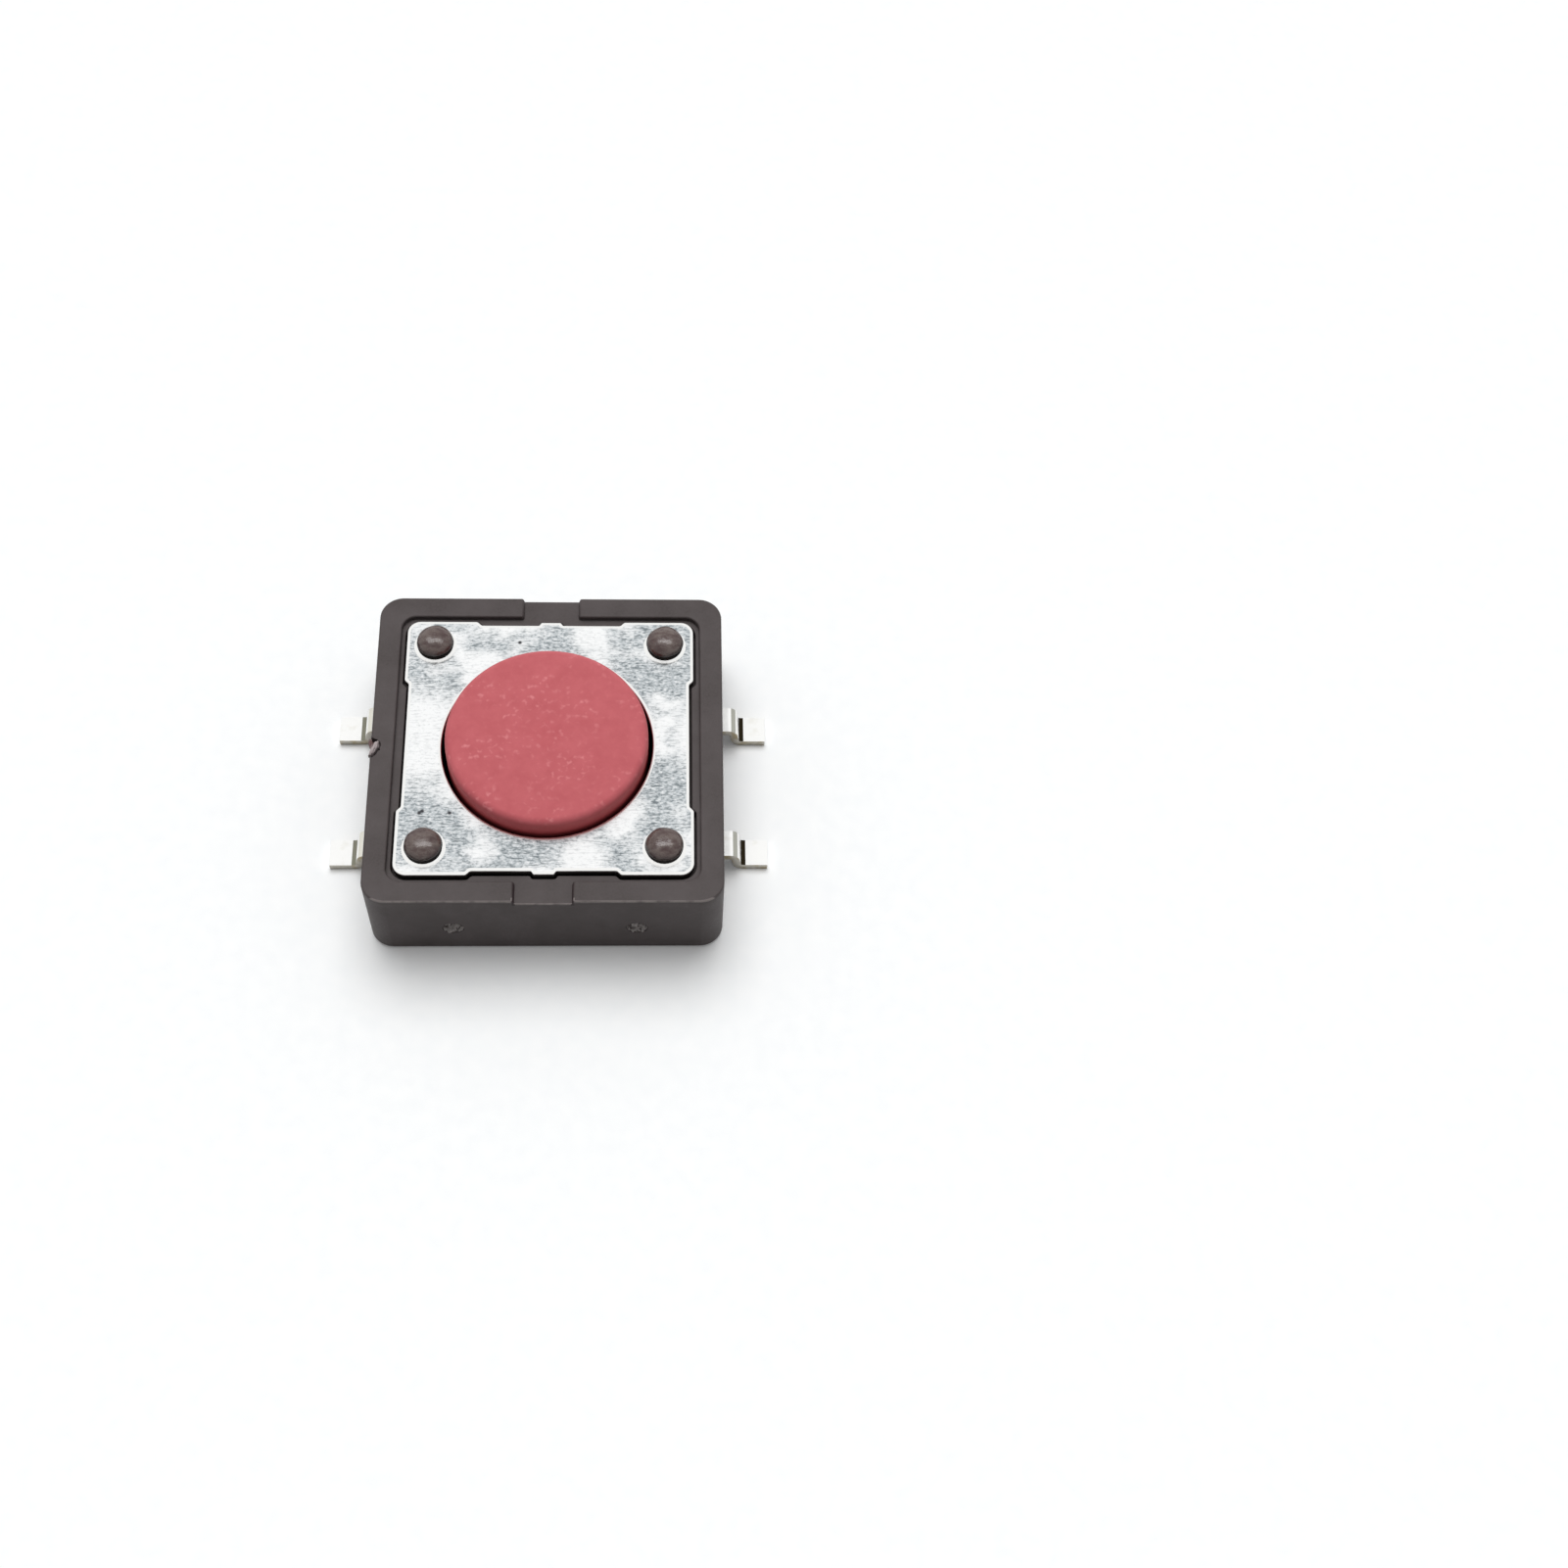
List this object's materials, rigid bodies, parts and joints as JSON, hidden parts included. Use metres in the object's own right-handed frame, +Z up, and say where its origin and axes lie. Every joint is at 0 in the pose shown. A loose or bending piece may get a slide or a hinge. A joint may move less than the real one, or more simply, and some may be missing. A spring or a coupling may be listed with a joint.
{
  "type": "tactile push button switch",
  "caption": "Square surface-mount momentary push button switch: moulded housing with a raised rim, staked metal cover plate, round button and joggled solder leads.",
  "frame": {"origin": "on the board, at the undersides of the solder feet, under the centre of the button", "axes": "+X across the leads, +Z up out of the board along the button's axis, -Y towards the side with the two gate marks"},
  "size_m": [0.0152, 0.012, 0.0042],
  "materials": {
    "housing": "moulded brown heat-resistant nylon, satin",
    "plate": "rolled bright steel sheet, fine lengthwise grain",
    "button": "moulded red nylon, matt",
    "film": "thin amber polyimide film",
    "dome": "silver-plated spring steel sheet",
    "contact": "silver-plated brass, bright"
  },
  "bodies": {
    "switch_body": {"base": "housing", "cover_plate": "plate", "sealing_film": "film", "snap_dome": "dome", "outer_contact_strip": "contact", "centre_contact_strip": "contact"},
    "button": {"button": "button"}
  },
  "joints": [
    {"name": "button_press", "type": "slide", "parent": "switch_body", "child": "button", "axis": [0, 0, -1], "range_m": [0, 0.0003], "stiffness_N_per_m": 6000, "deforming": ["snap_dome", "sealing_film"]}
  ]
}
